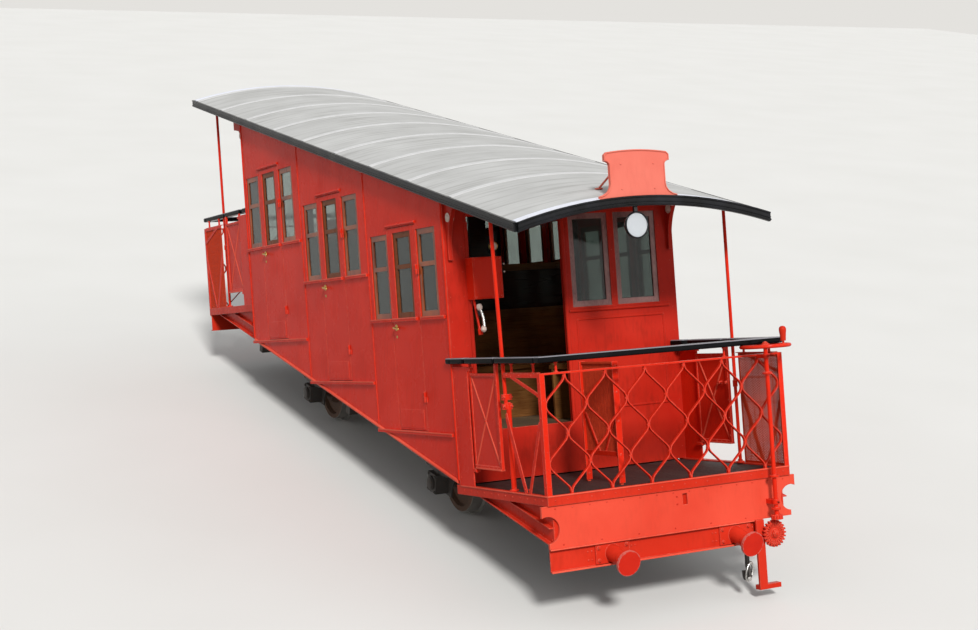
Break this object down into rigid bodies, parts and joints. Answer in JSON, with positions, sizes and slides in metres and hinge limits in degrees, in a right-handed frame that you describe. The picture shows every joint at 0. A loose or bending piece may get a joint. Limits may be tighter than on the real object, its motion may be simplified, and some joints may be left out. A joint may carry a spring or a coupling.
{
  "type": "funicular car",
  "caption": "Red two-axle funicular car with a stepped body for an inclined line, open end platforms with wavy lattice railings and a barrel roof.",
  "frame": {"origin": "on the ground plane under the centre of the car's bounding box, midway between its ends and sides", "axes": "+Y uphill along the track, +X across to the right seen from the downhill end, +Z square to the track; the body leans back by the line's slope of 15 degrees"},
  "size_m": [2.208, 8.0766, 3.2382],
  "materials": {
    "dark_steel": "satin black paint, dusty and rusted at the edges",
    "wheel_steel": "bare steel tread, rusty brown web",
    "red_paint": "glossy vermilion red paint, brushed on in many coats",
    "black_paint": "semi-gloss black paint",
    "roof_felt": "grey felt in lapped sheets",
    "lamp_chrome": "chrome-plated brass",
    "varnished_wood": "varnished brown wood",
    "floor_boards": "worn dark boards",
    "inside_wood": "varnished inner boards",
    "window_pane": "clear"
  },
  "bodies": {
    "car_body": {"underframe": "dark_steel", "axle_guards": "dark_steel", "leaf_springs": "dark_steel", "axleboxes": "dark_steel", "compartment_floors": "floor_boards", "body_side_left": "red_paint", "body_side_right": "red_paint", "front_bulkhead": "red_paint", "rear_bulkhead": "red_paint", "window_sashes": "varnished_wood", "window_glass": "window_pane", "partitions": "inside_wood", "benches": "inside_wood", "roof": "roof_felt", "roof_edging": "black_paint", "side_mouldings": "red_paint", "platform_frames": "red_paint", "platform_decks": "floor_boards", "fascia_board": "red_paint", "buffer_beams": "red_paint", "buffer_housings": "red_paint", "buffer_heads": "red_paint", "end_lattices": "red_paint", "side_lattices": "red_paint", "corner_frames": "red_paint", "roof_posts": "red_paint", "handrails": "black_paint", "hinge_brackets": "red_paint", "platform_dividers": "red_paint", "hand_brake_shaft": "red_paint", "hand_brake_brackets": "red_paint", "hand_brake_wheel": "red_paint", "hand_brake_gear": "red_paint", "guard_bracket": "red_paint", "coupling_hook": "dark_steel", "headlamp_shell": "lamp_chrome", "headlamp_glass": "window_pane", "roof_board": "red_paint", "roof_brackets": "red_paint", "control_cabinet": "red_paint", "rope_drawbar": "dark_steel"},
    "front_wheels": {"front_wheelset": "wheel_steel"},
    "rear_wheels": {"rear_wheelset": "wheel_steel"},
    "front_gate_left": {"front_gate_left": "red_paint"},
    "front_gate_right": {"front_gate_right": "red_paint"},
    "rear_gate_right": {"rear_gate_right": "red_paint"},
    "rear_gate_left": {"rear_gate_left": "red_paint"},
    "door_left_1": {"door_left_1": "red_paint", "door_glass_left_1": "window_pane"},
    "door_left_2": {"door_left_2": "red_paint", "door_glass_left_2": "window_pane"},
    "door_left_3": {"door_left_3": "red_paint", "door_glass_left_3": "window_pane"},
    "door_right_1": {"door_right_1": "red_paint", "door_glass_right_1": "window_pane"},
    "door_right_2": {"door_right_2": "red_paint", "door_glass_right_2": "window_pane"},
    "door_right_3": {"door_right_3": "red_paint", "door_glass_right_3": "window_pane"}
  },
  "joints": [
    {"name": "front_wheels_spin", "type": "hinge", "parent": "car_body", "child": "front_wheels", "pos_m": [0, -1.52643, 0.297], "axis": [1, 0, 0], "continuous": true},
    {"name": "rear_wheels_spin", "type": "hinge", "parent": "car_body", "child": "rear_wheels", "pos_m": [0, 1.20357, 0.297], "axis": [1, 0, 0], "continuous": true},
    {"name": "front_gate_left_hinge", "type": "hinge", "parent": "car_body", "child": "front_gate_left", "pos_m": [-1.02, -2.55335, 1.15114], "axis": [0, 0.2588, 0.9659], "range_deg": [0, 90]},
    {"name": "front_gate_right_hinge", "type": "hinge", "parent": "car_body", "child": "front_gate_right", "pos_m": [1.02, -2.55335, 1.15114], "axis": [0, 0.2588, 0.9659], "range_deg": [-90, 0]},
    {"name": "rear_gate_right_hinge", "type": "hinge", "parent": "car_body", "child": "rear_gate_right", "pos_m": [1.02, 2.58224, 1.36596], "axis": [0, 0.2588, 0.9659], "range_deg": [0, 90]},
    {"name": "rear_gate_left_hinge", "type": "hinge", "parent": "car_body", "child": "rear_gate_left", "pos_m": [-1.02, 2.58224, 1.36596], "axis": [0, 0.2588, 0.9659], "range_deg": [-90, 0]},
    {"name": "door_left_1_hinge", "type": "hinge", "parent": "car_body", "child": "door_left_1", "pos_m": [-1.048, -1.60881, 1.71856], "axis": [0, 0.2588, 0.9659], "range_deg": [0, 95]},
    {"name": "door_left_2_hinge", "type": "hinge", "parent": "car_body", "child": "door_left_2", "pos_m": [-1.048, -0.09213, 1.71856], "axis": [0, 0.2588, 0.9659], "range_deg": [0, 95]},
    {"name": "door_left_3_hinge", "type": "hinge", "parent": "car_body", "child": "door_left_3", "pos_m": [-1.048, 1.42455, 1.71856], "axis": [0, 0.2588, 0.9659], "range_deg": [0, 95]},
    {"name": "door_right_1_hinge", "type": "hinge", "parent": "car_body", "child": "door_right_1", "pos_m": [1.048, -1.60881, 1.71856], "axis": [0, 0.2588, 0.9659], "range_deg": [-95, 0]},
    {"name": "door_right_2_hinge", "type": "hinge", "parent": "car_body", "child": "door_right_2", "pos_m": [1.048, -0.09213, 1.71856], "axis": [0, 0.2588, 0.9659], "range_deg": [-95, 0]},
    {"name": "door_right_3_hinge", "type": "hinge", "parent": "car_body", "child": "door_right_3", "pos_m": [1.048, 1.42455, 1.71856], "axis": [0, 0.2588, 0.9659], "range_deg": [-95, 0]}
  ]
}
